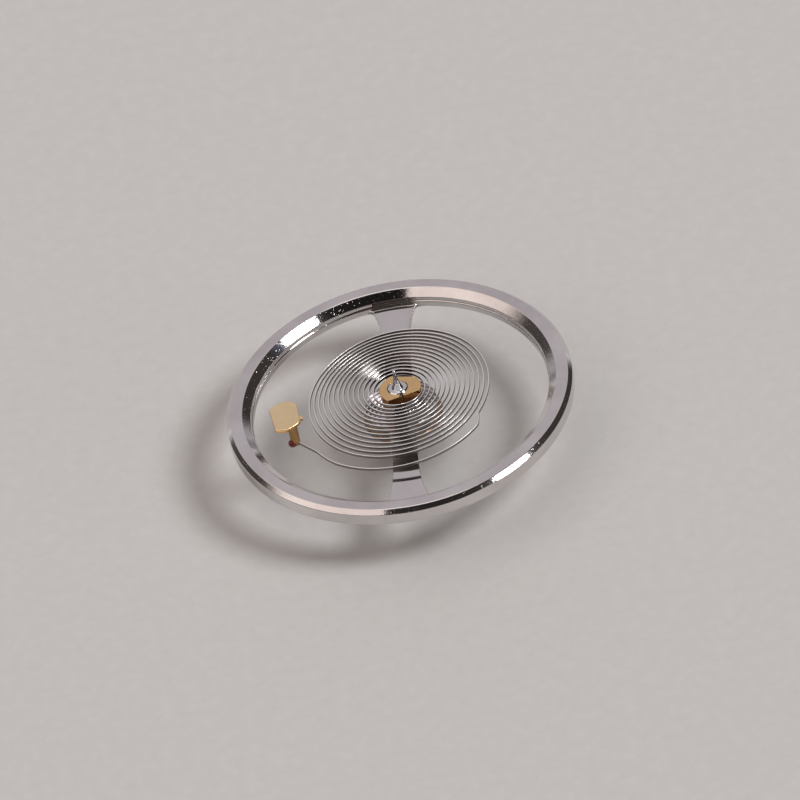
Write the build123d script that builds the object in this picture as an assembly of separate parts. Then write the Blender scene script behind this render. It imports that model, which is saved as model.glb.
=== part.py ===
from build123d import *
import math
import os

# Balance of a mechanical watch with its hairspring and stud, in millimetres.
# The staff stands on +Z with the tip of its lower pivot at the origin.
# The two arms of the wheel lie along Y and the impulse jewel lies on +X.

# Rim of the balance wheel, a plain turned ring
rim_outer_radius = 5.0
rim_height = 0.50
rim_face_width = 0.33
outer_bevel_width = 0.125
outer_bevel_height = 0.12
inner_bevel_width = 0.24
inner_bevel_height = 0.18
inner_wall_height = 0.105
lip_bevel = 0.035
rim_foot_bevel = 0.04

# Web of the wheel: a round hub and two arms that widen towards the rim
web_thickness = 0.12
hub_radius = 1.05
arm_width = 0.77
flare_start_radius = 2.6
flare_radius = 5.5
arm_corner_radius = 0.15
hub_corner_radius = 0.30
arm_edge_bevel = 0.02

# Staff, from the lower pivot up
pivot_radius = 0.045
pivot_crown = 0.012
lower_pivot_length = 0.27
lower_cone_height = 0.33
lower_cone_radius = 0.16
roller_seat_radius = 0.22
roller_seat_length = 0.88
flange_radius = 0.62
flange_thickness = 0.12
wheel_seat_radius = 0.42
rivet_height = 0.08
rivet_spread = 0.09
collet_seat_radius = 0.30
collet_seat_length = 0.56
seat_edge_bevel = 0.04
upper_cone_height = 0.41
upper_cone_radius = 0.165
upper_pivot_length = 0.22
cone_hollow = 0.012

# Collet, a split brass ring with two flats, set off the axis
collet_radius = 0.60
collet_height = 0.54
collet_axis_radius = 0.08
collet_axis_angle = -20.0
wide_flat_radius = 0.36
wide_flat_angle = -74.5
narrow_flat_radius = 0.48
narrow_flat_angle = 75.5
collet_slit_width = 0.05
collet_slit_angle = -70.5
collet_edge_bevel = 0.02

# Hairspring, a flat ribbon wound edge up
ribbon_thickness = 0.04
ribbon_height = 0.09
coil_turns = 14
coil_start_angle = 330.0
coil_shift = 0.032
coil_shift_angle = 157.4
spring_below_collet_top = 0.14
inner_swell = 0.06
inner_swell_power = 8
inner_seat_start_angle = -20.0
inner_seat_end_angle = -3.0

# Outer end of the hairspring: the dog-leg, the arc for the regulator, the tail
dogleg_width = 0.229
dogleg_inner_share = 0.0175
dogleg_inner_angle = 326.6
dogleg_outer_share = 0.563
dogleg_outer_angle = 322.6
arc_spread = 0.12
arc_start_angle = 318.0
arc_crest_rise = 0.042
arc_crest_angle = 231.0
arc_end_angle = 214.5
tail_bend_length = 0.07

# The free outer end hangs below the flat of the inner coils
stud_drop = 0.30
drop_angle = 210.5
drop_share = 0.61
drop_power = 1.5

# Stud, a brass post with a broad flat head
post_radius = 0.135
post_rim_gap = 0.873
post_arc_gap = 0.097
post_axis_angle = 199.5
post_foot_below_spring = 0.035
stud_height = 1.06
head_thickness = 0.11
head_width = 0.81
head_length = 1.24
head_turn_angle = 5.5
head_edge_bevel = 0.02
lug_width = 0.15
lug_reach = 0.09
lug_thickness = 0.08
tail_clearance = 0.005

# Head outline seen from above, as shares of the head's width and length
head_side_shares = [(0.265, 0.444), (0.327, 0.323), (0.327, -0.081), (0.315, -0.258),
                    (0.117, -0.363), (-0.204, -0.468), (-0.616, -0.387), (-0.673, 0.355)]
head_crown_share = (-0.167, 0.532)
lug_place_share = (0.327, -0.121)

# Cement drop that holds the tail in the stud
drop_radius = 0.12
drop_axis_radius = 0.105
drop_side_angle = -141.0

# Double roller and its D-shaped jewel
roller_hub_radius = 0.42
roller_hub_height = 0.12
table_radius = 1.15
table_thickness = 0.16
table_edge_bevel = 0.03
neck_radius = 0.38
neck_height = 0.30
safety_radius = 0.60
safety_thickness = 0.18
crescent_radius = 0.20
crescent_edge_gap = 0.06
jewel_radius = 0.15
jewel_edge_gap = 0.08
jewel_flat_depth = 0.08
jewel_length = 0.50
jewel_stand = 0.02

# Heights worked out from the sizes above
flange_bottom = lower_pivot_length + lower_cone_height + roller_seat_length
web_bottom = flange_bottom + flange_thickness
web_top = web_bottom + web_thickness
rim_top = web_bottom + rim_height
rivet_top = web_top + rivet_height
collet_top = rivet_top + collet_height
shoulder_top = rivet_top + collet_seat_length
upper_pivot_bottom = shoulder_top + upper_cone_height
staff_top = upper_pivot_bottom + upper_pivot_length
spring_level = collet_top - spring_below_collet_top
tail_level = spring_level - stud_drop
post_foot = tail_level - ribbon_height / 2 - post_foot_below_spring
stud_top = post_foot + stud_height
roller_top = flange_bottom
table_top = roller_top - roller_hub_height
table_bottom = table_top - table_thickness
safety_top = table_bottom - neck_height
safety_bottom = safety_top - safety_thickness

# Radii from the rim inwards: the web, the stud's post, the regulator arc, the outermost turn
web_radius = rim_outer_radius - outer_bevel_width - rim_face_width - inner_bevel_width - lip_bevel
post_axis_radius = web_radius - post_rim_gap - post_radius
arc_end_radius = post_axis_radius - post_radius - post_arc_gap - ribbon_thickness / 2
arc_start_radius = arc_end_radius - arc_spread
coil_outer_radius = arc_start_radius - dogleg_width
dogleg_inner_radius = coil_outer_radius + dogleg_width * dogleg_inner_share
dogleg_outer_radius = coil_outer_radius + dogleg_width * dogleg_outer_share

# Places on the rollers: the jewel stands inside the table's edge, the crescent's centre outside the safety's
jewel_axis_radius = table_radius - jewel_edge_gap - jewel_radius
crescent_axis_radius = safety_radius + crescent_edge_gap


def polar(radius, degrees, height=0):
    turn = math.radians(degrees)
    return Vector(radius * math.cos(turn), radius * math.sin(turn), height)


def turned(points):
    # Solid of revolution about Z from a closed run of radius and height pairs
    profile = Polyline(*[(radius, 0, height) for radius, height in points], close=True)
    return revolve(make_face(profile), Axis.Z)


def make_balance_wheel():
    face_outer = rim_outer_radius - outer_bevel_width
    face_inner = face_outer - rim_face_width
    bevel_foot = face_inner - inner_bevel_width
    ring = turned([
        (rim_outer_radius - rim_foot_bevel, web_bottom),
        (rim_outer_radius, web_bottom + rim_foot_bevel),
        (rim_outer_radius, rim_top - outer_bevel_height),
        (face_outer, rim_top),
        (face_inner, rim_top),
        (bevel_foot, rim_top - inner_bevel_height),
        (bevel_foot, rim_top - inner_bevel_height - inner_wall_height),
        (web_radius, rim_top - inner_bevel_height - inner_wall_height - lip_bevel),
        (web_radius, web_bottom),
    ])
    openings = Circle(web_radius) - Circle(hub_radius) - make_arm_outline()
    openings = fillet(corners_between(openings, flare_start_radius, web_radius), arm_corner_radius)
    openings = fillet(corners_between(openings, 0, flare_start_radius), hub_corner_radius)
    web = extrude(Circle(web_radius + lip_bevel) - openings, web_thickness)
    web = chamfer(web.faces().sort_by(Axis.Z)[-1].inner_wires().edges(), arm_edge_bevel)
    bore = Cylinder(wheel_seat_radius, web_thickness, align=(Align.CENTER, Align.CENTER, Align.MIN))
    return ring + Pos(0, 0, web_bottom) * (web - bore)


def corners_between(openings, nearest, farthest):
    # Corners along the arms, in a range of distances from the axis
    corners = [corner.center() for corner in openings.vertices()]
    return [corner for corner, place in zip(openings.vertices(), corners)
            if abs(place.X) < hub_radius - arm_edge_bevel and nearest < abs(place.Y) < farthest]


def make_arm_outline():
    half = arm_width / 2
    middle = (flare_start_radius + web_radius) / 2

    def flare(along):
        rise = along - flare_start_radius
        return half + flare_radius - math.sqrt(flare_radius ** 2 - rise ** 2)

    side = Polyline((half, 0), (half, flare_start_radius))
    side += ThreePointArc((half, flare_start_radius), (flare(middle), middle),
                          (flare(web_radius), web_radius))
    side += Polyline((flare(web_radius), web_radius), (0, web_radius))
    side += Polyline((0, web_radius), (0, 0), (half, 0))
    quarter = make_face(side)
    half_arm = quarter + mirror(quarter, Plane.YZ)
    return half_arm + mirror(half_arm, Plane.XZ)


def make_balance_staff():
    def hollow(height_low, radius_low, height_high, radius_high):
        # Middle of a cone's side, drawn in a little as a trumpet
        return ((radius_low + radius_high) / 2 - cone_hollow, 0, (height_low + height_high) / 2)

    lower_cone_top = lower_pivot_length + lower_cone_height
    points = [
        (0, 0, 0),
        (pivot_radius - pivot_crown, 0, 0),
        (pivot_radius, 0, pivot_crown),
        (pivot_radius, 0, lower_pivot_length),
    ]
    outline = Polyline(*points)
    outline += ThreePointArc(
        (pivot_radius, 0, lower_pivot_length),
        hollow(lower_pivot_length, pivot_radius, lower_cone_top, lower_cone_radius),
        (lower_cone_radius, 0, lower_cone_top))
    points = [
        (lower_cone_radius, 0, lower_cone_top),
        (roller_seat_radius, 0, lower_cone_top),
        (roller_seat_radius, 0, flange_bottom),
        (flange_radius, 0, flange_bottom),
        (flange_radius, 0, web_bottom),
        (wheel_seat_radius, 0, web_bottom),
        (wheel_seat_radius, 0, web_top),
        (wheel_seat_radius + rivet_spread, 0, web_top),
        (wheel_seat_radius, 0, rivet_top),
        (collet_seat_radius, 0, rivet_top),
        (collet_seat_radius, 0, shoulder_top - seat_edge_bevel),
        (collet_seat_radius - seat_edge_bevel, 0, shoulder_top),
        (upper_cone_radius, 0, shoulder_top),
    ]
    outline += Polyline(*points)
    outline += ThreePointArc(
        (upper_cone_radius, 0, shoulder_top),
        hollow(shoulder_top, upper_cone_radius, upper_pivot_bottom, pivot_radius),
        (pivot_radius, 0, upper_pivot_bottom))
    points = [
        (pivot_radius, 0, upper_pivot_bottom),
        (pivot_radius, 0, staff_top - pivot_crown),
        (pivot_radius - pivot_crown, 0, staff_top),
        (0, 0, staff_top),
        (0, 0, 0),
    ]
    outline += Polyline(*points)
    return revolve(make_face(outline), Axis.Z)


def make_collet():
    middle = polar(collet_axis_radius, collet_axis_angle)
    outline = Pos(middle.X, middle.Y) * Circle(collet_radius)
    flats = [(wide_flat_radius, wide_flat_angle), (narrow_flat_radius, narrow_flat_angle)]
    for distance, angle in flats:
        block = Rectangle(2 * collet_radius, 2 * collet_radius)
        place = polar(distance + collet_radius, angle)
        outline -= Pos(middle.X + place.X, middle.Y + place.Y) * Rot(0, 0, angle) * block
    body = extrude(outline, collet_height)
    body = chamfer(body.faces().sort_by(Axis.Z)[-1].edges(), collet_edge_bevel)
    body -= extrude(Circle(collet_seat_radius), collet_height)
    slit_reach = 2 * collet_radius
    slit = Pos(slit_reach / 2, 0) * Rectangle(slit_reach, collet_slit_width)
    body -= extrude(Rot(0, 0, collet_slit_angle) * slit, collet_height)
    return Pos(0, 0, rivet_top) * body


def coil_point(turns):
    # Point on the spiral after so many turns inwards: the outer turns lie a little off the axis,
    # and the last one swells to reach the collet
    fade = max(0, 1 - turns / (coil_turns * drop_share)) ** drop_power
    angle = coil_start_angle + 360 * turns
    shift = polar(coil_shift * (1 - turns / coil_turns), coil_shift_angle)
    swell = inner_swell * (turns / coil_turns) ** inner_swell_power
    return shift + polar(coil_outer_radius - coil_pitch() * turns + swell, angle, drooped(angle, fade))


def coil_pitch():
    # Even pitch that brings the spiral, with its swell, to its seat on the collet
    seat = inner_seat_point(inner_seat_start_angle)
    seat_angle = math.degrees(math.atan2(seat.Y, seat.X))
    past_start = (seat_angle - coil_start_angle + 180) % 360 - 180
    return (coil_outer_radius + inner_swell - math.hypot(seat.X, seat.Y)) / (coil_turns + past_start / 360)


def arc_point(degrees):
    # Point on the regulator arc at a polar angle: it widens up to its crest, then closes in to the tail
    crest_radius = arc_end_radius + arc_crest_rise
    if degrees < arc_crest_angle:
        share = (degrees - arc_end_angle) / (arc_crest_angle - arc_end_angle)
        radius = arc_end_radius + arc_crest_rise * share
    else:
        share = (arc_start_angle - degrees) / (arc_start_angle - arc_crest_angle)
        radius = arc_start_radius + (crest_radius - arc_start_radius) * share
    return polar(radius, degrees, drooped(degrees, 1))


def drooped(degrees, fade):
    return spring_level - stud_drop * fade * (1 + math.cos(math.radians(degrees - drop_angle))) / 2


def inner_seat_point(degrees):
    # The last of the ribbon lies on the round of the collet
    middle = polar(collet_axis_radius, collet_axis_angle, spring_level)
    return middle + polar(collet_radius + ribbon_thickness / 2, degrees)


def heading(place, at, step):
    return (place(at + step) - place(at - step)).normalized()


def tail_points():
    # Ends of the straight tail: inside the post, and where the tail bends into the arc
    post = polar(post_axis_radius, post_axis_angle, tail_level)
    bend = arc_point(arc_end_angle)
    bend = Vector(bend.X, bend.Y, tail_level)
    way = (bend - post).normalized()
    return post - way * (post_radius - tail_clearance), bend - way * tail_bend_length, way


def spring_nodes():
    # Nodes of the ribbon's middle line with its heading at each, from the tail inwards
    tail_end, tail_bend, way = tail_points()
    angle_step = 0.01
    turn_step = 0.0001
    nodes = [(tail_end, way), (tail_bend, way)]
    arc_count = 6
    sweep_angle = arc_start_angle - tail_leave_angle()
    for index in range(arc_count + 1):
        angle = tail_leave_angle() + sweep_angle * index / arc_count
        nodes.append((arc_point(angle), heading(arc_point, angle, angle_step)))
    outer = polar(dogleg_outer_radius, dogleg_outer_angle, drooped(dogleg_outer_angle, 1))
    inner = polar(dogleg_inner_radius, dogleg_inner_angle, drooped(dogleg_inner_angle, 1))
    leg = (inner - outer).normalized()
    nodes += [(outer, leg), (inner, leg)]
    for index in range(4 * coil_turns):
        turns = index / 4
        nodes.append((coil_point(turns), heading(coil_point, turns, turn_step)))
    for angle in (inner_seat_start_angle, inner_seat_end_angle):
        nodes.append((inner_seat_point(angle), heading(inner_seat_point, angle, angle_step)))
    return nodes


def tail_leave_angle():
    return arc_end_angle + math.degrees(tail_bend_length / arc_end_radius)


def biarc(start, start_way, end, end_way):
    # Two arcs that leave one node and reach the next along their headings
    across = end - start
    ways = start_way + end_way
    square = 2 * (1 - start_way.dot(end_way))
    linear = 2 * across.dot(ways)
    flat_share = 1e-9
    if square < flat_share:
        reach = across.dot(across) / linear
    else:
        reach = (math.sqrt(linear ** 2 + 4 * square * across.dot(across)) - linear) / (2 * square)
    first = start + start_way * reach
    second = end - end_way * reach
    middle = (first + second) / 2
    middle_way = (second - first).normalized()
    return [arc_or_line(start, start_way, middle), arc_or_line(middle, middle_way, end)]


def arc_or_line(start, way, end):
    straight_share = 1e-5
    across = (end - start).normalized()
    if way.cross(across).length < straight_share:
        return Edge.make_line(start, end)
    return Edge.make_tangent_arc(start, way, end)


def make_hairspring():
    nodes = spring_nodes()
    edges = []
    for (start, start_way), (end, end_way) in zip(nodes, nodes[1:]):
        edges += biarc(start, start_way, end, end_way)
    path = Wire(edges)
    plane = Plane(origin=nodes[0][0], x_dir=(0, 0, 1), z_dir=nodes[0][1])
    ribbon = sweep(plane * Rectangle(ribbon_height, ribbon_thickness), path=path)
    print("hairspring length", round(path.length, 3))
    print("hairspring volume over section times length",
          round(ribbon.volume / (path.length * ribbon_height * ribbon_thickness), 4))
    print("least gap between turns", round(least_gap(edges), 4))
    return ribbon


def least_gap(edges):
    # Smallest space between one turn of the ribbon and the next, on points along its line
    points = [edge.position_at(share) for edge in edges for share in (0.25, 0.75)]
    turn_count = 16
    gap = math.inf
    for index, point in enumerate(points):
        for other in points[index + turn_count // 2:index + 2 * turn_count]:
            gap = min(gap, math.hypot(point.X - other.X, point.Y - other.Y))
    return gap - ribbon_thickness


def tail_slot():
    # Space for the tail, open at the foot of the post
    width = ribbon_thickness + 2 * tail_clearance
    depth = tail_level + ribbon_height / 2 + tail_clearance - post_foot
    block = Box(2 * post_radius, width, depth, align=(Align.CENTER, Align.CENTER, Align.MIN))
    way = tail_points()[2]
    turn = math.degrees(math.atan2(way.Y, way.X))
    place = polar(post_axis_radius, post_axis_angle, post_foot)
    return Pos(*place) * Rot(0, 0, turn) * block


def make_stud():
    points = [(head_width * across, head_length * along) for across, along in head_side_shares]
    crown = (head_width * head_crown_share[0], head_length * head_crown_share[1])
    outline = Polyline(*points) + ThreePointArc(points[-1], crown, points[0])
    head = extrude(make_face(outline), head_thickness)
    head = chamfer(head.faces().sort_by(Axis.Z)[-1].edges(), head_edge_bevel)
    lug_place = (head_width * lug_place_share[0], head_length * lug_place_share[1])
    lug = Box(2 * lug_reach, lug_width, lug_thickness)
    head += Pos(*lug_place, head_thickness / 2) * lug
    axis = polar(post_axis_radius, post_axis_angle)
    head = Pos(axis.X, axis.Y, stud_top - head_thickness) * Rot(0, 0, head_turn_angle) * head
    post_height = stud_height - head_thickness
    post = Cylinder(post_radius, post_height, align=(Align.CENTER, Align.CENTER, Align.MIN))
    post = Pos(axis.X, axis.Y, post_foot) * post
    return head + (post - tail_slot())


def make_stud_cement(stud):
    axis = polar(post_axis_radius, post_axis_angle, tail_level)
    drop = Pos(*(axis + polar(drop_axis_radius, drop_side_angle))) * Sphere(drop_radius)
    tail_end, tail_bend, way = tail_points()
    plane = Plane(origin=tail_end, x_dir=(0, 0, 1), z_dir=way)
    tail = extrude(plane * Rectangle(ribbon_height, ribbon_thickness), (tail_bend - tail_end).length)
    post = Cylinder(post_radius, post_radius * 2)
    filling = tail_slot() & (Pos(*axis) * post)
    return (drop - stud) + filling - tail


def make_double_roller():
    body = turned([
        (roller_seat_radius, safety_bottom),
        (safety_radius, safety_bottom),
        (safety_radius, safety_top),
        (neck_radius, safety_top),
        (neck_radius, table_bottom),
        (table_radius - table_edge_bevel, table_bottom),
        (table_radius, table_bottom + table_edge_bevel),
        (table_radius, table_top - table_edge_bevel),
        (table_radius - table_edge_bevel, table_top),
        (roller_hub_radius, table_top),
        (roller_hub_radius, roller_top),
        (roller_seat_radius, roller_top),
    ])
    crescent = Cylinder(crescent_radius, safety_thickness, align=(Align.CENTER, Align.CENTER, Align.MIN))
    body -= Pos(crescent_axis_radius, 0, safety_bottom) * crescent
    hole = extrude(jewel_outline(), table_thickness)
    return body - Pos(jewel_axis_radius, 0, table_bottom) * hole


def jewel_outline():
    flat = Pos(2 * jewel_radius - jewel_flat_depth, 0) * Rectangle(2 * jewel_radius, 2 * jewel_radius)
    return Circle(jewel_radius) - flat


def make_impulse_jewel():
    jewel = extrude(jewel_outline(), jewel_length)
    return Pos(jewel_axis_radius, 0, table_top + jewel_stand - jewel_length) * jewel


os.makedirs("parts", exist_ok=True)
stud = make_stud()
pieces = {
    "balance_wheel": make_balance_wheel(),
    "balance_staff": make_balance_staff(),
    "collet": make_collet(),
    "hairspring": make_hairspring(),
    "stud": stud,
    "stud_cement": make_stud_cement(stud),
    "double_roller": make_double_roller(),
    "impulse_jewel": make_impulse_jewel(),
}
for name, piece in pieces.items():
    print(name, len(piece.solids()), "solid", round(piece.volume, 4))
    export_step(piece, "parts/" + name + ".step")
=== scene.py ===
import bpy, bmesh, math
from mathutils import Matrix, Vector


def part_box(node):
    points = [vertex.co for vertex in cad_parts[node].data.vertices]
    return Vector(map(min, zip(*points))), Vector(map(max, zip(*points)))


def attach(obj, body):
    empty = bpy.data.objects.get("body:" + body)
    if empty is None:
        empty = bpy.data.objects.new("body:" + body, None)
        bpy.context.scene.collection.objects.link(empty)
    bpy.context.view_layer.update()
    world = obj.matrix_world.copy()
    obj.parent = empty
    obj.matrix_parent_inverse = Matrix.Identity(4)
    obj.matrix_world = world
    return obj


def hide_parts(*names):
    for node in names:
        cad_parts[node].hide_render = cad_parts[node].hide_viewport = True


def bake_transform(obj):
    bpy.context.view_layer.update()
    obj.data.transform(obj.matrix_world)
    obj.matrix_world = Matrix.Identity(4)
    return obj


# Watch balance with its hairspring and stud. Sizes are in millimetres and degrees until a mesh is finished.
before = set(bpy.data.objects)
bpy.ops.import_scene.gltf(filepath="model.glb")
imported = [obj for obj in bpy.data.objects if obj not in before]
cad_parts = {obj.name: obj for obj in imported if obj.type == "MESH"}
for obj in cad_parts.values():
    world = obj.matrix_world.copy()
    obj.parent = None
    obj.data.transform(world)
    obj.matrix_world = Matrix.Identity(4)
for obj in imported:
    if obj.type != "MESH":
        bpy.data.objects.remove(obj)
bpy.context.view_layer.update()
mm = 0.001


def heights(node):
    # Lowest and highest level of a solid, in millimetres
    low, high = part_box(node)
    return low.z / mm, high.z / mm


# Building in bmesh

def polar(radius, degrees, height=0.0):
    turn = math.radians(degrees)
    return Vector((radius * math.cos(turn), radius * math.sin(turn), height))


def arcPoints(centre, start, end, count, way=1):
    # Points on an arc about a centre, both ends included; way 1 turns to the left, -1 to the right
    first, last = start - centre, end - centre
    firstTurn = math.atan2(first.y, first.x)
    sweep = (math.atan2(last.y, last.x) - firstTurn) * way % math.tau * way
    turns = [firstTurn + sweep * step / count for step in range(count + 1)]
    return [centre + first.length * Vector((math.cos(turn), math.sin(turn))) for turn in turns]


def sagArc(start, end, sag, count):
    # Points from start to end on a shallow curve that stands off its chord by sag
    across = end - start
    side = Vector((-across.y, across.x)).normalized()
    shares = [step / count for step in range(count + 1)]
    return [start + across * share + side * sag * 4 * share * (1 - share) for share in shares]


def spun(profile, steps):
    # Closed ring or solid turned about Z from radius and height pairs
    made = bmesh.new()
    line = [made.verts.new((radius, 0, height)) for radius, height in profile]
    closed = profile[0][0] > 0
    pairs = zip(line, line[1:] + line[:1]) if closed else zip(line, line[1:])
    edges = [made.edges.new(pair) for pair in pairs]
    bmesh.ops.spin(made, geom=line + edges, cent=(0, 0, 0), axis=(0, 0, 1),
                   angle=math.tau, steps=steps, use_merge=True)
    bmesh.ops.remove_doubles(made, verts=made.verts, dist=0.00002)
    bmesh.ops.recalc_face_normals(made, faces=made.faces)
    return made


def lifted(made, raised, height):
    # Moves straight up what an extrusion made
    verts = [part for part in raised["geom"] if isinstance(part, bmesh.types.BMVert)]
    bmesh.ops.translate(made, verts=verts, vec=(0, 0, height))


def plate(outline, bottom, thickness):
    # Flat plate from an outline in X and Y
    made = bmesh.new()
    face = made.faces.new([made.verts.new((point.x, point.y, bottom)) for point in outline])
    lifted(made, bmesh.ops.extrude_face_region(made, geom=[face]), thickness)
    bmesh.ops.recalc_face_normals(made, faces=made.faces)
    return made


def breakEdges(made, width, segments, sharperThan=25, among=None):
    # Rounds every edge that is sharper than an angle, or only those that among picks out
    limit = math.radians(sharperThan)
    edges = [edge for edge in made.edges
             if len(edge.link_faces) == 2 and edge.calc_face_angle(0) > limit
             and (among is None or among(edge))]
    rounded = set(bmesh.ops.bevel(made, geom=edges, offset=width, offset_type="OFFSET", segments=segments,
                                  profile=0.5, affect="EDGES", clamp_overlap=True, material=-1)["faces"])
    for edge in made.edges:
        if len({face in rounded for face in edge.link_faces}) == 2:
            edge.smooth = False  # keeps the shading of the broad faces flat


def joined(*parts):
    # Several loose meshes as one
    whole = bmesh.new()
    for part in parts:
        mesh = bpy.data.meshes.new("part")
        part.to_mesh(mesh)
        whole.from_mesh(mesh)
        bpy.data.meshes.remove(mesh)
        part.free()
    return whole


def placed(name, made, material):
    # A bmesh as an object of the scene
    mesh = bpy.data.meshes.new(name)
    made.to_mesh(mesh)
    made.free()
    mesh.materials.append(material)
    thing = bpy.data.objects.new(name, mesh)
    bpy.context.scene.collection.objects.link(thing)
    return thing


def finished(name, made, material, node):
    # A piece in metres at the origin that stands for its solid
    bmesh.ops.scale(made, vec=(mm, mm, mm), verts=made.verts)
    for face in made.faces:
        face.smooth = True
    piece = placed(name, made, material)
    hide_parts(node)
    print("made", name, len(piece.data.polygons), "faces")
    return piece


# Shader building

class Wire:
    # A socket that takes arithmetic signs: each adds its Math node
    def __init__(self, graph, socket):
        self.graph = graph
        self.socket = socket

    def math(self, operation, first, second):
        return self.graph.node("Math", {"operation": operation}, {0: first, 1: second})

    def __add__(self, other):
        return self.math("ADD", self, other)

    def __radd__(self, other):
        return self.math("ADD", other, self)

    def __sub__(self, other):
        return self.math("SUBTRACT", self, other)

    def __rsub__(self, other):
        return self.math("SUBTRACT", other, self)

    def __mul__(self, other):
        return self.math("MULTIPLY", self, other)

    def __rmul__(self, other):
        return self.math("MULTIPLY", other, self)


class Graph:
    # The nodes of one material or world
    def __init__(self, tree):
        self.tree = tree
        tree.nodes.clear()

    def node(self, kind, settings=None, values=None, output=0):
        # Adds a node and gives one of its outputs, or several where output holds their names
        made = self.tree.nodes.new("ShaderNode" + kind)
        for name, value in (settings or {}).items():
            if name == "stops":
                self.setStops(made.color_ramp, value)
            else:
                setattr(made, name, value)
        for name, value in (values or {}).items():
            if isinstance(value, Wire):
                self.tree.links.new(value.socket, made.inputs[name])
            else:
                made.inputs[name].default_value = value
        if not made.outputs:
            return None
        if isinstance(output, tuple):
            return [Wire(self, made.outputs[name]) for name in output]
        return Wire(self, made.outputs[output])

    def setStops(self, ramp, stops):
        while len(ramp.elements) < len(stops):
            ramp.elements.new(1.0)
        for element, (place, colour) in zip(ramp.elements, stops):
            element.position = place
            element.color = rgb(*colour)

    def ramp(self, factor, *stops):
        return self.node("ValToRGB", {"stops": stops}, {"Fac": factor})

    def mix(self, factor, first, second):
        # Sockets 6 and 7 and output 2 are the ones for colours
        return self.node("Mix", {"data_type": "RGBA"}, {0: factor, 6: first, 7: second}, output=2)

    def place(self):
        # Place on the piece in metres
        return self.node("TexCoord", output="Object")

    def noise(self, place, scale, detail, rough):
        return self.node("TexNoise", {}, {"Vector": place, "Scale": scale, "Detail": detail,
                                          "Roughness": rough})

    def rise(self, value, low, high):
        # Smooth step from 0 at low to 1 at high
        return self.node("MapRange", {"interpolation_type": "SMOOTHSTEP"},
                         {"Value": value, "From Min": low, "From Max": high})


def rgb(*colour):
    return (*colour, 1.0)


def emptyMaterial(name):
    material = bpy.data.materials.new(name)
    material.use_nodes = True
    return material, Graph(material.node_tree)


def metalMaterial(name, look):
    # Polished metal: faint turning rings, a cloudy film, fine grain, specks, and side walls darkened with
    # painted shade
    material, graph = emptyMaterial(name)
    place = graph.place()
    film = graph.noise(place, *look["film"])
    fine = graph.noise(place, *look["fine"])
    normal = graph.node("NewGeometry", output="Normal")
    upward = graph.node("SeparateXYZ", {}, {"Vector": normal}, output="Z")
    wall = 1 - graph.rise(upward, *look["wallLimits"])
    specks = graph.rise(graph.noise(place, *look["speck"]), *look["speckLimits"])
    specks = specks * (1 - graph.rise(upward, *look["levelLimits"]))  # the broad level faces stay clean
    flat = graph.node("VectorMath", {"operation": "MULTIPLY"}, {0: place, 1: (1.0, 1.0, 0.0)})
    radius = graph.node("VectorMath", {"operation": "LENGTH"}, {0: flat}, output="Value")
    ringScale, ringDetail, ringRough = look["rings"]
    rings = graph.node("TexNoise", {"noise_dimensions": "1D"},
                       {"W": radius, "Scale": ringScale, "Detail": ringDetail, "Roughness": ringRough})
    low, high = look["filmLimits"]
    tone = graph.ramp(film, (low, look["dimColour"]), (high, look["colour"]))
    # Painted shade: faces that look sideways are mixed towards a darker colour
    tone = graph.mix(wall * look["wallTint"], tone, rgb(*look["wallColour"]))
    colour = graph.mix(specks * look["speckTint"], tone, rgb(*look["speckColour"]))
    outer = graph.rise(radius, *look["outerLimits"])
    roughness = (look["roughness"] + film * look["filmRoughness"] + specks * look["speckRoughness"]
                 + wall * look["wallRoughness"] + outer * look["outerRoughness"])
    height = rings * look["ringHeight"] + fine * look["fineHeight"] + specks * look["speckHeight"]
    bump = graph.node("Bump", {}, {"Strength": 1.0, "Distance": look["bumpDistance"], "Height": height})
    shader = graph.node("BsdfPrincipled", {"distribution": "MULTI_GGX"}, {
        "Base Color": colour, "Metallic": 1.0, "Roughness": roughness, "Normal": bump})
    graph.node("OutputMaterial", {}, {"Surface": shader})
    return material


# film, fine, speck and rings are each a noise's scale per metre, detail and roughness. wallLimits and
# levelLimits are how far a face looks up, from 0 to 1, and outerLimits are metres from the staff's axis.
mirrorLook = {
    "film": (900.0, 4.0, 0.6), "fine": (9000.0, 2.0, 0.5), "speck": (7000.0, 1.0, 0.5),
    "rings": (26000.0, 3.0, 0.7), "filmLimits": (0.35, 0.65), "speckLimits": (0.70, 0.78),
    "wallLimits": (0.55, 0.85), "levelLimits": (0.86, 0.96), "outerLimits": (0.0009, 0.0013),
    "roughness": 0.045, "filmRoughness": 0.05, "speckRoughness": 0.25, "wallRoughness": 0.0,
    "outerRoughness": 0.0, "ringHeight": 0.25, "fineHeight": 0.25, "speckHeight": 1.0,
    "bumpDistance": 0.0000012, "speckTint": 0.5, "speckColour": (0.85, 0.84, 0.83),
    "wallTint": 0.0, "wallColour": (0.4, 0.39, 0.38),
    "dimColour": (0.67, 0.645, 0.635), "colour": (0.72, 0.695, 0.68),
}
rimLook = mirrorLook | {
    "film": (450.0, 4.0, 0.6), "fineHeight": 1.3, "speck": (24000.0, 1.0, 0.5), "speckLimits": (0.70, 0.77),
    "speckHeight": 0.9, "speckTint": 0.2, "dimColour": (0.615, 0.585, 0.58), "colour": (0.755, 0.73, 0.72),
}
# Painted highlight and painted shade: the ribbon's colour is brightened so its tops show as bright lines,
# and its side walls are darkened
springLook = mirrorLook | {
    "dimColour": (0.84, 0.82, 0.815), "colour": (0.92, 0.905, 0.90), "roughness": 0.06,
    "outerRoughness": 0.22, "wallTint": 0.95, "wallColour": (0.22, 0.205, 0.20),
}
steelLook = mirrorLook | {
    "dimColour": (0.64, 0.64, 0.66), "colour": (0.74, 0.74, 0.76), "roughness": 0.04, "filmRoughness": 0.02,
    "ringHeight": 0.0, "fineHeight": 0.05, "speckHeight": 0.1, "speckTint": 0.1, "speckRoughness": 0.05,
}
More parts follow.
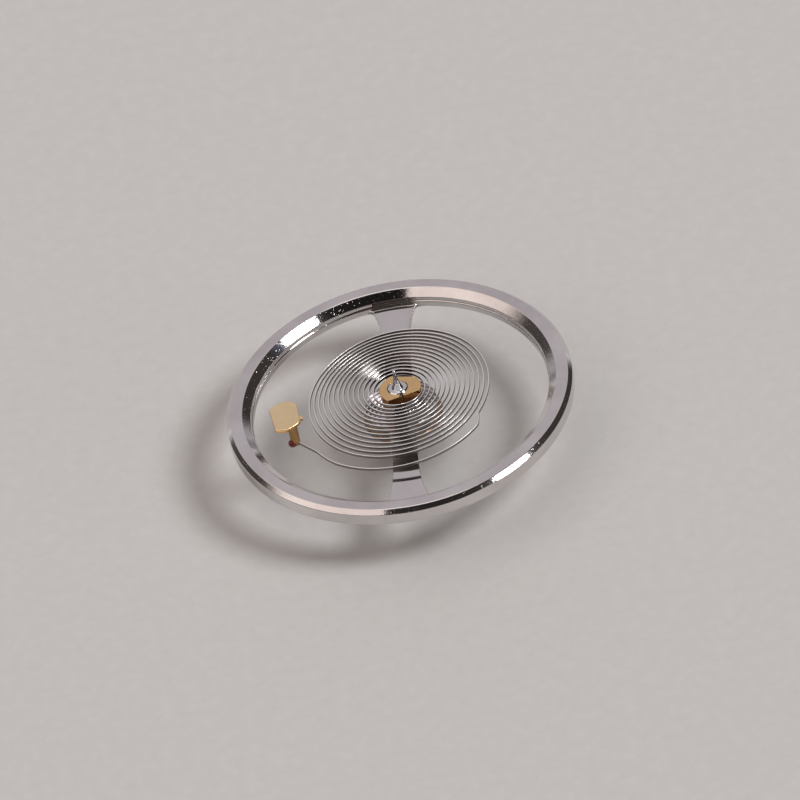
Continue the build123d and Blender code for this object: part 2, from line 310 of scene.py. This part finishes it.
# The collet's side walls are darkened with painted shade
colletLook = mirrorLook | {
    "film": (2200.0, 4.0, 0.6), "rings": (9000.0, 3.0, 0.7), "ringHeight": 1.6,
    "dimColour": (0.76, 0.53, 0.27), "colour": (0.85, 0.57, 0.26), "speckColour": (0.9, 0.7, 0.4),
    "roughness": 0.10, "wallTint": 0.9, "wallColour": (0.42, 0.17, 0.05), "wallRoughness": 0.05,
}
# The stud's side walls are darkened with painted shade
studLook = mirrorLook | {
    "dimColour": (0.93, 0.72, 0.42), "colour": (1.0, 0.80, 0.49), "speckColour": (0.95, 0.8, 0.5),
    "ringHeight": 0.0, "roughness": 0.08, "wallTint": 0.9, "wallColour": (0.44, 0.25, 0.09),
    "wallRoughness": 0.42,
}
# The roller's brass is darkened with painted shade where it lies under the wheel, and its side walls take
# half of the collet's painted wall shade
rollerLook = colletLook | {
    "dimColour": (0.34, 0.23, 0.13), "colour": (0.44, 0.31, 0.18), "rings": (26000.0, 3.0, 0.7),
    "ringHeight": 0.6, "wallTint": 0.5,
}


def clearMaterial(name, look):
    # Glossy tinted body: shellac or ruby
    material, graph = emptyMaterial(name)
    place = graph.place()
    cloud = graph.noise(place, *look["cloud"])
    ripple = graph.noise(place, *look["ripple"])
    low, high = look["cloudLimits"]
    colour = graph.ramp(cloud, (low, look["deepColour"]), (high, look["colour"]))
    bump = graph.node("Bump", {}, {"Strength": 1.0, "Distance": look["bumpDistance"], "Height": ripple})
    shader = graph.node("BsdfPrincipled", {}, {
        "Base Color": colour, "Roughness": look["roughness"] + cloud * look["cloudRoughness"],
        "IOR": look["ior"], "Transmission Weight": look["transmission"],
        "Coat Weight": look["coat"], "Normal": bump})
    graph.node("OutputMaterial", {}, {"Surface": shader})
    return material


cementLook = {
    "cloud": (9000.0, 3.0, 0.6), "cloudLimits": (0.35, 0.65), "ripple": (6000.0, 2.0, 0.5),
    "bumpDistance": 0.000004, "roughness": 0.08, "cloudRoughness": 0.1, "ior": 1.52, "transmission": 0.35,
    "coat": 0.3, "deepColour": (0.10, 0.006, 0.002), "colour": (0.36, 0.022, 0.006),
}
rubyLook = {
    "cloud": (4000.0, 3.0, 0.6), "cloudLimits": (0.35, 0.65), "ripple": (9000.0, 2.0, 0.5),
    "bumpDistance": 0.0000005, "roughness": 0.03, "cloudRoughness": 0.04, "ior": 1.77, "transmission": 0.7,
    "coat": 0.3, "deepColour": (0.50, 0.01, 0.05), "colour": (0.72, 0.03, 0.10),
}
rimMetal = metalMaterial("rimMetal", rimLook)
webMetal = metalMaterial("webMetal", mirrorLook)
springMetal = metalMaterial("springMetal", springLook)
staffSteel = metalMaterial("staffSteel", steelLook)
colletBrass = metalMaterial("colletBrass", colletLook)
studBrass = metalMaterial("studBrass", studLook)
rollerBrassPaintedShade = metalMaterial("rollerBrassPaintedShade", rollerLook)
redCement = clearMaterial("redCement", cementLook)
ruby = clearMaterial("ruby", rubyLook)
print("materials ready")


# Wheel: a turned rim, and the web with its hub and two arms

webBottom, rimTop = heights("balance_wheel")
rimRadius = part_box("balance_wheel")[1].x / mm
rim = {
    "faceWidth": 0.33, "outerBevel": (0.125, 0.12), "innerBevel": (0.24, 0.18),  # each a width and a height
    "innerWall": 0.105, "lip": 0.035, "foot": 0.04, "edgeBreak": 0.016, "steps": 384,
}
rimFaceInner = rimRadius - rim["outerBevel"][0] - rim["faceWidth"]
webRadius = rimFaceInner - rim["innerBevel"][0] - rim["lip"]


def makeRim():
    bevelFoot = rimFaceInner - rim["innerBevel"][0]
    wallTop = rimTop - rim["innerBevel"][1]
    wallFoot = wallTop - rim["innerWall"]
    made = spun([
        (rimRadius - rim["foot"], webBottom),
        (rimRadius, webBottom + rim["foot"]),
        (rimRadius, rimTop - rim["outerBevel"][1]),
        (rimRadius - rim["outerBevel"][0], rimTop),
        (rimFaceInner, rimTop),
        (bevelFoot, wallTop),
        (bevelFoot, wallFoot),
        (webRadius, wallFoot - rim["lip"]),
        (webRadius, webBottom),
    ], rim["steps"])
    breakEdges(made, rim["edgeBreak"], segments=3)
    return made


web = {
    "thickness": 0.12, "hubRadius": 1.05, "hubCornerRadius": 0.30, "armWidth": 0.77,
    "flareStart": 2.6, "flareRadius": 5.5, "cornerRadius": 0.15, "edgeBreak": 0.02,
    "hubSteps": 12, "flareSteps": 16, "cornerSteps": 10, "rootSteps": 8,
}
webTop = webBottom + web["thickness"]


def circlesMeet(centre, radius, other, otherRadius):
    # Where two circles cross, to the left of the line between them
    across = other - centre
    along = (radius ** 2 - otherRadius ** 2 + across.length_squared) / (2 * across.length)
    aside = math.sqrt(radius ** 2 - along ** 2)
    way = across.normalized()
    return centre + way * along + Vector((-way.y, way.x)) * aside


def makeWeb():
    # A quarter of the outline goes from the hub along the flared arm into the rim, and the rest mirrors it
    half = web["armWidth"] / 2
    hub, hubFillet = web["hubRadius"], web["hubCornerRadius"]
    fillet, flare = web["cornerRadius"], web["flareRadius"]
    middle = Vector((0.0, 0.0))
    hubCorner = Vector((half + hubFillet, math.sqrt((hub + hubFillet) ** 2 - (half + hubFillet) ** 2)))
    flareCentre = Vector((half + flare, web["flareStart"]))
    rimCorner = circlesMeet(middle, webRadius - fillet, flareCentre, flare - fillet)
    onFlare = flareCentre + (rimCorner - flareCentre).normalized() * flare
    onRim = rimCorner.normalized() * webRadius
    root = onRim.normalized() * (webRadius + rim["lip"])
    quarter = arcPoints(middle, Vector((hub, 0.0)), hubCorner.normalized() * hub, web["hubSteps"])
    quarter += arcPoints(hubCorner, quarter[-1], Vector((half, hubCorner.y)), web["hubSteps"], way=-1)[1:]
    quarter += arcPoints(flareCentre, Vector((half, flareCentre.y)), onFlare, web["flareSteps"], way=-1)
    quarter += arcPoints(rimCorner, onFlare, onRim, web["cornerSteps"], way=-1)[1:]
    quarter += arcPoints(middle, root, Vector((0.0, root.length)), web["rootSteps"])
    outline = []
    for flipX, flipY in ((1, 1), (-1, 1), (-1, -1), (1, -1)):
        run = [Vector((point.x * flipX, point.y * flipY)) for point in quarter]
        outline += run[:-1] if flipX * flipY > 0 else run[:0:-1]
    made = plate(outline, webBottom, web["thickness"])

    def onTop(edge):
        return all(vert.co.z > webTop - web["edgeBreak"] for vert in edge.verts)

    breakEdges(made, web["edgeBreak"], segments=2, sharperThan=60, among=onTop)
    return made


# Staff, collet and rollers, which turn with the wheel

staffTop = heights("balance_staff")[1]
staff = {
    "pivotRadius": 0.045, "crown": 0.012, "crownShare": 0.3, "lowerPivot": 0.27,
    "lowerCone": (0.33, 0.16), "upperCone": (0.41, 0.165),  # height, and radius at the foot
    "hollow": 0.012, "hollowSteps": 10, "rollerSeatRadius": 0.22, "wheelSeatRadius": 0.42,
    "flange": (0.62, 0.12),  # radius and height
    "rivet": (0.09, 0.08),  # overhang and height
    "shoulderRadius": 0.30, "shoulderLength": 0.56, "shoulderEdge": 0.04, "edgeBreak": 0.008, "steps": 128,
}
rivetTop = webTop + staff["rivet"][1]
shoulderTop = rivetTop + staff["shoulderLength"]


def coneRun(start, end):
    # The hollow side of a cone, as radius and height pairs
    points = sagArc(Vector(start), Vector(end), staff["hollow"], staff["hollowSteps"])
    return [tuple(point) for point in points]


def makeStaff():
    pivot, crown = staff["pivotRadius"], staff["crown"]
    lowerHeight, lowerRadius = staff["lowerCone"]
    upperHeight, upperRadius = staff["upperCone"]
    flangeRadius, flangeHeight = staff["flange"]
    coneTop = staff["lowerPivot"] + lowerHeight
    upperPivot = shoulderTop + upperHeight
    seat, edge = staff["shoulderRadius"], staff["shoulderEdge"]
    crownSide = crown * staff["crownShare"]
    crownRun = [(0.0, 0.0), (pivot - crown, 0.0), (pivot - crownSide, crownSide), (pivot, crown)]
    profile = crownRun + coneRun((pivot, staff["lowerPivot"]), (lowerRadius, coneTop))
    profile += [
        (staff["rollerSeatRadius"], coneTop),
        (staff["rollerSeatRadius"], webBottom - flangeHeight),
        (flangeRadius, webBottom - flangeHeight),
        (flangeRadius, webBottom),
        (staff["wheelSeatRadius"], webBottom),
        (staff["wheelSeatRadius"], webTop),
        (staff["wheelSeatRadius"] + staff["rivet"][0], webTop),
        (staff["wheelSeatRadius"], rivetTop),
        (seat, rivetTop),
        (seat, shoulderTop - edge),
        (seat - edge, shoulderTop),
    ]
    profile += coneRun((upperRadius, shoulderTop), (pivot, upperPivot))
    profile += [(radius, staffTop - height) for radius, height in reversed(crownRun)]
    made = spun(profile, staff["steps"])
    breakEdges(made, staff["edgeBreak"], segments=2, sharperThan=30)
    return made


colletLow, colletTop = heights("collet")
collet = {
    "radius": 0.60, "axis": (0.08, -20.0),
    "flats": ((0.36, -74.5), (0.48, 75.5)),  # distance from the collet's axis, and the angle each faces
    "slitWidth": 0.05, "slitAngle": -70.5, "edge": 0.018, "steps": 240,
}
colletMiddle = polar(*collet["axis"])


def colletReach(degrees):
    # From the staff's axis to the collet's outside at a polar angle
    way = polar(1.0, degrees)
    nearest = way.dot(colletMiddle)
    reach = nearest + math.sqrt(nearest ** 2 - colletMiddle.length_squared + collet["radius"] ** 2)
    leastFacing = 0.05  # a flat that faces the way less than this bounds nothing
    for distance, angle in collet["flats"]:
        normal = polar(1.0, angle)
        if way.dot(normal) > leastFacing:
            reach = min(reach, (distance + colletMiddle.dot(normal)) / way.dot(normal))
    return reach


def makeCollet():
    # A section spun nearly all round, then each place is moved out to the round, the flats and the slit
    bore = staff["shoulderRadius"]
    spunAngle = 359  # short of a full turn, so that the two ends stay apart
    made = bmesh.new()
    corners = ((bore, colletLow), (collet["radius"], colletLow),
               (collet["radius"], colletTop), (bore, colletTop))
    face = made.faces.new([made.verts.new((radius, 0, height)) for radius, height in corners])
    bmesh.ops.spin(made, geom=[face], cent=(0, 0, 0), axis=(0, 0, 1), angle=math.radians(spunAngle),
                   steps=collet["steps"], use_merge=False)
    for vert in made.verts:
        share = math.degrees(math.atan2(vert.co.y, vert.co.x)) % 360 / spunAngle
        outside = math.hypot(vert.co.x, vert.co.y) > (bore + collet["radius"]) / 2
        radius = bore
        for _ in range(2):  # the slit's angle follows from the radius, and the radius from the angle
            slit = math.degrees(math.asin(collet["slitWidth"] / 2 / radius))
            angle = collet["slitAngle"] + slit + share * (360 - 2 * slit)
            radius = colletReach(angle) if outside else bore
        vert.co = polar(radius, angle, vert.co.z)
    bmesh.ops.recalc_face_normals(made, faces=made.faces)
    breakEdges(made, collet["edge"], segments=3, sharperThan=40)
    return made


rollerLow, rollerTop = heights("double_roller")
roller = {
    "seat": 0.22, "safety": (0.60, 0.18), "neck": (0.38, 0.30), "table": (1.15, 0.16),  # radius and height
    "tableEdge": 0.03, "hubRadius": 0.42, "crescentRadius": 0.20, "crescentAxis": 0.66,
    "edgeBreak": 0.008, "steps": 256,
}


def makeRoller():
    safetyRadius, safetyHeight = roller["safety"]
    neckRadius, neckHeight = roller["neck"]
    tableRadius, tableHeight = roller["table"]
    edge = roller["tableEdge"]
    neckLow = rollerLow + safetyHeight
    tableLow = neckLow + neckHeight
    tableTop = tableLow + tableHeight
    made = spun([
        (roller["seat"], rollerLow),
        (safetyRadius, rollerLow),
        (safetyRadius, neckLow),
        (neckRadius, neckLow),
        (neckRadius, tableLow),
        (tableRadius - edge, tableLow),
        (tableRadius, tableLow + edge),
        (tableRadius, tableTop - edge),
        (tableRadius - edge, tableTop),
        (roller["hubRadius"], tableTop),
        (roller["hubRadius"], rollerTop),
        (roller["seat"], rollerTop),
    ], roller["steps"])
    # The crescent: the safety roller's side is drawn in to the near side of a circle
    centre = Vector((roller["crescentAxis"], 0.0))
    for vert in made.verts:
        flat = vert.co.xy
        if flat.length > neckRadius and vert.co.z < neckLow + edge:
            way = flat.normalized()
            nearest = way.dot(centre)
            under = nearest ** 2 - centre.length_squared + roller["crescentRadius"] ** 2
            if under > 0 and nearest > 0:
                vert.co.xy = way * min(flat.length, nearest - math.sqrt(under))
    breakEdges(made, roller["edgeBreak"], segments=2, sharperThan=30)
    return made


jewelLow, jewelTop = heights("impulse_jewel")
jewel = {"radius": 0.15, "axis": 0.92, "flat": 0.08, "edge": 0.008, "steps": 40}


def makeJewel():
    # A round pin with a flat on its outer side
    halfFlat = math.acos(1 - jewel["flat"] / jewel["radius"])
    steps = jewel["steps"]
    turns = [halfFlat + (math.tau - 2 * halfFlat) * step / steps for step in range(steps + 1)]
    outline = [Vector((jewel["axis"] + jewel["radius"] * math.cos(turn), jewel["radius"] * math.sin(turn)))
               for turn in turns]
    made = plate(outline, jewelLow, jewelTop - jewelLow)
    breakEdges(made, jewel["edge"], segments=2, sharperThan=40)
    return made


# Stud: a round post with a broad head, and the drop of cement at its foot

postFoot, studTop = heights("stud")
stud = {
    "radius": 0.135, "axis": (3.262, 199.5), "headThickness": 0.11, "headSize": (0.81, 1.24),
    "headTurn": 5.5, "headEdge": 0.022, "crownSteps": 20, "steps": 96,
    "lug": (0.09, 0.15, 0.08),  # reach, width and height
    "lugShare": (0.327, -0.121),  # this and the next two are shares of the head's width and length
    "sideShares": ((0.265, 0.444), (0.327, 0.323), (0.327, -0.081), (0.315, -0.258),
                   (0.117, -0.363), (-0.204, -0.468), (-0.616, -0.387), (-0.673, 0.355)),
    "crownShare": (-0.167, 0.532),
}
studAxis = polar(*stud["axis"])


def circleThrough(first, second, third):
    # Centre of the circle through three points
    near, far = second - first, third - first
    cross = 2 * (near.x * far.y - near.y * far.x)
    square = Vector((far.y * near.length_squared - near.y * far.length_squared,
                     near.x * far.length_squared - far.x * near.length_squared))
    return first + square / cross


def makeStud():
    width, length = stud["headSize"]
    corners = [Vector((width * across, length * along)) for across, along in stud["sideShares"]]
    crown = Vector((width * stud["crownShare"][0], length * stud["crownShare"][1]))
    centre = circleThrough(corners[-1], crown, corners[0])
    outline = corners + arcPoints(centre, corners[-1], corners[0], stud["crownSteps"], way=-1)[1:-1]
    headLow = studTop - stud["headThickness"]
    head = plate(outline, headLow, stud["headThickness"])
    breakEdges(head, stud["headEdge"], segments=3, sharperThan=20)
    reach, lugWidth, lugHeight = stud["lug"]
    lug = bmesh.new()
    bmesh.ops.create_cube(lug, size=1.0)
    bmesh.ops.scale(lug, vec=(2 * reach, lugWidth, lugHeight), verts=lug.verts)
    breakEdges(lug, stud["headEdge"], segments=3)
    lugX, lugY = stud["lugShare"]
    bmesh.ops.translate(lug, vec=(width * lugX, length * lugY, headLow + stud["headThickness"] / 2),
                        verts=lug.verts)
    top = joined(head, lug)
    bmesh.ops.rotate(top, cent=(0, 0, 0), matrix=Matrix.Rotation(math.radians(stud["headTurn"]), 3, "Z"),
                     verts=top.verts)
    post = bmesh.new()
    bmesh.ops.create_cone(post, cap_ends=True, segments=stud["steps"], radius1=stud["radius"],
                          radius2=stud["radius"], depth=headLow - postFoot)
    bmesh.ops.translate(post, vec=(0, 0, (headLow + postFoot) / 2), verts=post.verts)
    breakEdges(post, stud["headEdge"] / 2, segments=2, sharperThan=40)
    whole = joined(top, post)
    bmesh.ops.translate(whole, vec=studAxis, verts=whole.verts)
    return whole


cement = {"radius": 0.125, "away": (0.11, -141.0), "stretch": (1.0, 0.95, 1.0), "subdivisions": 5}


def makeCement():
    # A nearly round drop
    drop = bmesh.new()
    bmesh.ops.create_icosphere(drop, subdivisions=cement["subdivisions"], radius=cement["radius"])
    bmesh.ops.scale(drop, vec=cement["stretch"], verts=drop.verts)
    bmesh.ops.translate(drop, vec=studAxis + polar(*cement["away"], tailLevel), verts=drop.verts)
    return drop


# Hairspring: one flat ribbon on edge, from the stud inwards to the collet

spring = {
    "thickness": 0.04, "height": 0.09, "edge": 0.013, "edgeSegments": 3, "edgeSharperThan": 60,
    "turns": 14, "startAngle": 330.0, "outerRadius": 2.661, "shift": (0.032, 157.4),
    "belowColletTop": 0.11, "seatAngles": (-80.0, -50.0, -20.0, -3.0),
    "arc": ((2.89, 318.0), (3.052, 231.0), (3.01, 214.5)),  # radius and angle at its start, crest and end
    "dogleg": ((2.79, 322.6), (2.665, 326.6)), "tailBend": 0.07, "tailClearance": 0.005,
    "drop": 0.33, "dropAngle": 210.5, "dropShare": 0.61, "dropPower": 1.5,
    "still": 1.0,  # turns that stay with the stud while the balance swings
    "arcSpans": 6, "spansPerTurn": 8, "seatSpans": 2, "stepsPerSpan": 12,
}
springLevel = colletTop - spring["belowColletTop"]
tailLevel = springLevel - spring["drop"]


def drooped(degrees, fade):
    # Level of the ribbon: the free outer turns hang lowest on the stud's side
    wave = (1 + math.cos(math.radians(degrees - spring["dropAngle"]))) / 2
    return springLevel - spring["drop"] * fade * wave


def seatPoint(degrees):
    # Point on the last stretch, which follows the round of the collet
    middle = Vector((colletMiddle.x, colletMiddle.y, springLevel))
    return middle + polar(collet["radius"] + spring["thickness"] / 2, degrees)


def coilPitch():
    # Even pitch that brings the spiral to its seat on the collet
    seat = seatPoint(spring["seatAngles"][0])
    past = (math.degrees(math.atan2(seat.y, seat.x)) - spring["startAngle"] + 180) % 360 - 180
    return (spring["outerRadius"] - seat.xy.length) / (spring["turns"] + past / 360)


def coilPoint(turns):
    # Point on the spiral after so many turns inwards
    fade = max(0.0, 1 - turns / (spring["turns"] * spring["dropShare"])) ** spring["dropPower"]
    angle = spring["startAngle"] + 360 * turns
    reach, way = spring["shift"]
    aside = polar(reach * (1 - turns / spring["turns"]), way)  # the outer turns lie a little off the axis
    return aside + polar(spring["outerRadius"] - coilPitch() * turns, angle, drooped(angle, fade))


def arcPoint(degrees):
    # The arc for the regulator widens up to its crest, then closes in to the tail
    start, crest, end = spring["arc"]
    (nearRadius, nearAngle), (farRadius, farAngle) = (start, crest) if degrees > crest[1] else (crest, end)
    share = (nearAngle - degrees) / (nearAngle - farAngle)
    return polar(nearRadius + (farRadius - nearRadius) * share, degrees, drooped(degrees, 1))


def heading(place, at, step):
    # Way along a curve, from the points a step before and after
    return (place(at + step) - place(at - step)).normalized()


def springStations():
    # Places and headings along the ribbon's middle line, with how far each turns with the balance
    angleStep, turnStep = 0.01, 0.0001  # for headings, in degrees and in turns
    startAngle, (endRadius, endAngle) = spring["arc"][0][1], spring["arc"][-1]
    post = Vector((studAxis.x, studAxis.y, tailLevel))
    bend = arcPoint(endAngle)
    bend.z = tailLevel
    way = (bend - post).normalized()
    stations = [(post - way * (stud["radius"] - spring["tailClearance"]), way, 0.0),
                (bend - way * spring["tailBend"], way, 0.0)]
    leave = endAngle + math.degrees(spring["tailBend"] / endRadius)
    for index in range(spring["arcSpans"] + 1):
        angle = leave + (startAngle - leave) * index / spring["arcSpans"]
        stations.append((arcPoint(angle), heading(arcPoint, angle, angleStep), 0.0))
    outer, inner = [polar(radius, angle, drooped(angle, 1)) for radius, angle in spring["dogleg"]]
    leg = (inner - outer).normalized()
    stations += [(outer, leg, 0.0), (inner, leg, 0.0)]
    for index in range(spring["spansPerTurn"] * spring["turns"] - spring["seatSpans"]):
        turns = index / spring["spansPerTurn"]
        follow = max(0.0, turns - spring["still"]) / (spring["turns"] - spring["still"])
        stations.append((coilPoint(turns), heading(coilPoint, turns, turnStep), follow))
    for angle in spring["seatAngles"]:
        stations.append((seatPoint(angle), heading(seatPoint, angle, angleStep), 1.0))
    return stations


def between(first, second, steps):
    # Smooth run from one station towards the next, near a circle's arc
    (start, startWay, startFollow), (end, endWay, endFollow) = first, second
    pull = (end - start).length / math.cos(startWay.angle(endWay, 0.0) / 4) ** 2
    run = []
    for step in range(steps):
        share = step / steps
        rest = 1 - share
        place = (start * (rest ** 2 * (1 + 2 * share)) + startWay * (pull * share * rest ** 2)
                 + end * (share ** 2 * (3 - 2 * share)) - endWay * (pull * share ** 2 * rest))
        run.append((place, startFollow + (endFollow - startFollow) * share))
    return run


def makeSpring():
    # The ribbon's lower edge as a line, drawn up to its height
    stations = springStations()
    line = []
    for first, second in zip(stations, stations[1:]):
        line += between(first, second, spring["stepsPerSpan"])
    line.append((stations[-1][0], 1.0))
    made = bmesh.new()
    follow = made.verts.layers.float.new("follow")
    lower = []
    for place, share in line:
        vert = made.verts.new(place - Vector((0, 0, spring["height"] / 2)))
        vert[follow] = share
        lower.append(vert)
    edges = [made.edges.new(pair) for pair in zip(lower, lower[1:])]
    lifted(made, bmesh.ops.extrude_edge_only(made, edges=edges), spring["height"])
    return made


def wind(piece):
    # Gives the ribbon its thickness and rounded edges, and reads how far each point turns with the balance
    wall = piece.modifiers.new("wall", "SOLIDIFY")
    wall.thickness = spring["thickness"] * mm
    wall.offset = 0
    rounding = piece.modifiers.new("rounding", "BEVEL")
    rounding.width = spring["edge"] * mm
    rounding.segments = spring["edgeSegments"]
    rounding.limit_method = "ANGLE"
    rounding.angle_limit = math.radians(spring["edgeSharperThan"])
    rounding.harden_normals = True
    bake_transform(piece)
    # How far each point turns follows the turns along the ribbon, not the straight way between its two ends
    shares = [0.0] * len(piece.data.vertices)
    piece.data.attributes["follow"].data.foreach_get("value", shares)


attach(finished("wheel_rim", makeRim(), rimMetal, "balance_wheel"), "balance")
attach(finished("wheel_web", makeWeb(), webMetal, "balance_wheel"), "balance")
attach(finished("staff", makeStaff(), staffSteel, "balance_staff"), "balance")
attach(finished("split_collet", makeCollet(), colletBrass, "collet"), "balance")
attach(finished("roller_pair", makeRoller(), rollerBrassPaintedShade, "double_roller"), "balance")
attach(finished("roller_jewel", makeJewel(), ruby, "impulse_jewel"), "balance")
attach(finished("spring_stud", makeStud(), studBrass, "stud"), "stud_side")
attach(finished("cement_drop", makeCement(), redCement, "stud_cement"), "stud_side")
wind(finished("flat_spring", makeSpring(), springMetal, "hairspring"))


# Floor, light and camera

floorLook = {
    "size": 6.0, "colour": (0.60, 0.59, 0.58), "dimmed": 0.94, "grain": (2600.0, 5.0, 0.6),
    "grainLimits": (0.3, 0.7), "bumpStrength": 0.5, "bumpDistance": 0.00001, "roughness": 0.8,
}


def makeFloor():
    # A level pale floor, in metres, which is clear from below so that the part can be seen from there
    made = bmesh.new()
    bmesh.ops.create_grid(made, x_segments=1, y_segments=1, size=floorLook["size"] / 2)
    material, graph = emptyMaterial("paleFloor")
    grain = graph.noise(graph.place(), *floorLook["grain"])
    dim = tuple(channel * floorLook["dimmed"] for channel in floorLook["colour"])
    low, high = floorLook["grainLimits"]
    colour = graph.ramp(grain, (low, dim), (high, floorLook["colour"]))
    bump = graph.node("Bump", {}, {"Strength": floorLook["bumpStrength"],
                                   "Distance": floorLook["bumpDistance"], "Height": grain})
    shader = graph.node("BsdfPrincipled", {}, {
        "Base Color": colour, "Roughness": floorLook["roughness"], "Normal": bump})
    clear = graph.node("BsdfTransparent")
    backside = graph.node("NewGeometry", output="Backfacing")
    surface = graph.node("MixShader", {}, {0: backside, 1: shader, 2: clear})
    graph.node("OutputMaterial", {}, {"Surface": surface})
    placed("floor", made, material)


# Ways are given as the camera sees them: X to its right, Y away from it, Z up. A lamp is round, with its
# half angles. A box is bright where a way goes past the limits along all of the box's sides.
studio = {
    "turn": 5.5,  # from the camera's own directions to the part's, in degrees
    "lamps": (
        # Dim, behind the camera on the right
        {"way": (0.683, -0.683, 0.259), "inner": 10.0, "outer": 20.0, "light": (0.48, 0.46, 0.46)},
        # Low on the right
        {"way": (0.83, -0.52, 0.207), "inner": 4.0, "outer": 10.0, "light": (3.0, 2.9, 2.8)},
        # Faint and bluish, high on the right
        {"way": (0.74, -0.04, 0.67), "inner": 1.0, "outer": 7.5, "light": (0.09, 0.095, 0.165)},
        # Overhead
        {"way": (0.0, 0.0, 1.0), "inner": 12.0, "outer": 20.0, "light": (1.2, 1.19, 1.17)},
        # Main lamp
        {"way": (0.635, -0.234, 0.732), "inner": 9.0, "outer": 12.5, "light": (16.0, 15.9, 16.0)},
    ),
    "boxes": (
        # Broad panel across from the camera
        {"sides": ((0.0, 1.0, 0.5), (0.0, 0.0, 1.0)), "limits": ((0.80, 0.89), (0.05, 0.15)),
         "light": (0.53, 0.495, 0.52)},
        # Warm soft box on the left
        {"sides": ((0.228, -0.785, 0.576), (-0.909, 0.415, -0.047), (0.0, 0.0, 1.0), (0.0, 0.0, -1.0)),
         "limits": ((-0.22, 0.12), (-0.02, 0.04), (0.32, 0.42), (-0.97, -0.94)),
         "light": (1.05, 0.92, 0.86)},
    ),
    "leftFill": (0.075, 0.066, 0.062), "rightFill": (0.052, 0.045, 0.042), "fillLimits": (-0.3, 0.3),
    "roof": (0.012, 0.010, 0.010), "roofLimits": (0.60, 0.88),
    "backdrop": (0.72, 0.71, 0.70), "backdropRise": 0.10,  # how high metal and glass still show it
}


def facing(graph, way, side):
    # How far a way goes along a side, which is given in the camera's own directions
    turned = tuple(Matrix.Rotation(math.radians(studio["turn"]), 3, "Z") @ Vector(side))
    return graph.node("VectorMath", {"operation": "DOT_PRODUCT"}, {0: way, 1: turned}, output="Value")


def makeSurround():
    # A dark room with lamps, a warm soft box and a broad panel, behind a low pale backdrop
    world = bpy.data.worlds.new("surround")
    bpy.context.scene.world = world
    world.use_nodes = True
    graph = Graph(world.node_tree)
    fromCamera, fromMetal, throughGlass = graph.node(
        "LightPath", output=("Is Camera Ray", "Is Glossy Ray", "Is Transmission Ray"))
    way = graph.node("TexCoord", output="Generated")
    rise = facing(graph, way, (0, 0, 1))
    toRight = graph.rise(facing(graph, way, (1, 0, 0)), *studio["fillLimits"])
    fill = graph.mix(toRight, rgb(*studio["leftFill"]), rgb(*studio["rightFill"]))
    colour = graph.mix(graph.rise(rise, *studio["roofLimits"]), fill, rgb(*studio["roof"]))
    mirrored = (fromMetal + throughGlass) * (1 - graph.rise(rise, 0.0, studio["backdropRise"]))
    colour = graph.mix(mirrored, colour, rgb(*studio["backdrop"]))
    for box in studio["boxes"]:
        mask = 1.0
        for side, (low, high) in zip(box["sides"], box["limits"]):
            mask = mask * graph.rise(facing(graph, way, side), low, high)
        colour = graph.mix(mask, colour, rgb(*box["light"]))
    for lamp in studio["lamps"]:
        outer, inner = (math.cos(math.radians(lamp[edge])) for edge in ("outer", "inner"))
        spot = graph.rise(facing(graph, way, Vector(lamp["way"]).normalized()), outer, inner)
        colour = graph.mix(spot, colour, rgb(*lamp["light"]))
    colour = graph.mix(fromCamera, colour, rgb(*studio["backdrop"]))
    graph.node("OutputWorld", {}, {"Surface": graph.node("Background", {}, {"Color": colour})})


view = {
    "azimuth": 5.5, "elevation": 40.8, "lean": 12.75, "distance": 850.0, "sensor": 36.0, "clipStart": 10.0,
    "pixelsPerMm": 35.12, "framePixels": 800, "rimMiddlePixel": (398.35, 393.4),
}


def makeCamera():
    data = bpy.data.cameras.new("camera")
    field = view["framePixels"] / view["pixelsPerMm"]
    data.sensor_width = view["sensor"]
    data.lens = view["sensor"] * view["distance"] / field
    data.clip_start = view["clipStart"] * mm
    turn, rise, lean = (math.radians(view[name]) for name in ("azimuth", "elevation", "lean"))
    back = Vector((math.sin(turn) * math.cos(rise), -math.cos(turn) * math.cos(rise), math.sin(rise)))
    level = Vector((math.cos(turn), math.sin(turn), 0))
    steep = back.cross(level)
    right = level * math.cos(lean) - steep * math.sin(lean)
    up = steep * math.cos(lean) + level * math.sin(lean)
    middlePixel = (view["framePixels"] - 1) / 2
    across, down = ((middlePixel - pixel) / view["pixelsPerMm"] for pixel in view["rimMiddlePixel"])
    target = Vector((0, 0, rimTop)) + right * across - up * down
    camera = bpy.data.objects.new("camera", data)
    bpy.context.scene.collection.objects.link(camera)
    axes = Matrix((right, up, back)).transposed().to_4x4()
    camera.matrix_world = Matrix.Translation((target + back * view["distance"]) * mm) @ axes
    bpy.context.scene.camera = camera


makeFloor()
makeSurround()
makeCamera()
bpy.context.scene.view_settings.view_transform = "Standard"
print("studio ready")

bpy.context.view_layer.update()
